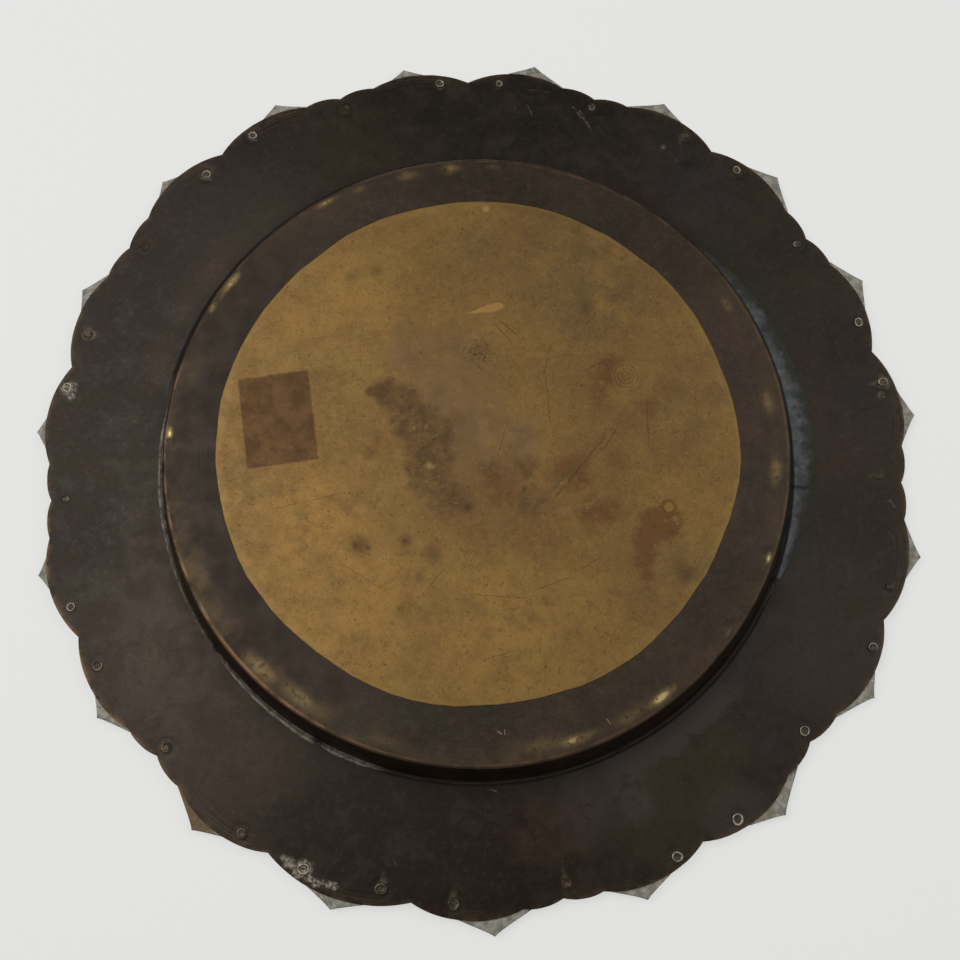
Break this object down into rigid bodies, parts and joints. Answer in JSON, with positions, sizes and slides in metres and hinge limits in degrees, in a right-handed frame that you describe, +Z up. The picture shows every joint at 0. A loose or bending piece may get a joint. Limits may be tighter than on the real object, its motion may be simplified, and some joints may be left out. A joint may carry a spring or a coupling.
{
  "type": "chinese checkers board",
  "caption": "Round scalloped metal Chinese checkers board: copper rim with riveted silver panels around a deep brass well that holds a dimpled six-pointed star field.",
  "frame": {"origin": "centre of the flat foot face on the underside, where the board stands on a table", "axes": "+Z up out of the playing well; +Y towards the first home triangle of the star; X completes the right-handed frame"},
  "size_m": [0.4556, 0.4583, 0.0322],
  "materials": {
    "copper_patina": "dark brown patina on copper sheet, satin",
    "brass_patina": "dark patina on spun brass, worn bright on the shoulder",
    "brass_disc": "dull golden brass, scratched and stained",
    "brass_field": "rubbed brass",
    "copper_bright": "rubbed copper",
    "silver_sheet": "pressed silver sheet, matt, tarnished in the hollows",
    "solder": "dull blue-grey soft solder",
    "rivet_metal": "worn white metal",
    "teak": "bare hardwood"
  },
  "bodies": {
    "root": {"rim_ring": "copper_patina", "well_pan": "brass_patina", "backing_disc": "brass_disc", "solder_fillet": "solder", "packing_disc": "teak", "playing_plate": "brass_patina", "star_field": "brass_field", "home_point_1": "silver_sheet", "home_point_2": "copper_bright", "home_point_3": "silver_sheet", "home_point_4": "copper_bright", "home_point_5": "silver_sheet", "home_point_6": "copper_bright", "silver_panel_1": "silver_sheet", "silver_panel_2": "silver_sheet", "silver_panel_3": "silver_sheet", "silver_panel_4": "silver_sheet", "silver_panel_5": "silver_sheet", "silver_panel_6": "silver_sheet", "silver_panel_7": "silver_sheet", "silver_panel_8": "silver_sheet", "silver_panel_9": "silver_sheet", "silver_panel_single": "silver_sheet", "border_wire": "silver_sheet", "end_rivets": "rivet_metal", "middle_rivets": "rivet_metal"}
  },
  "joints": []
}
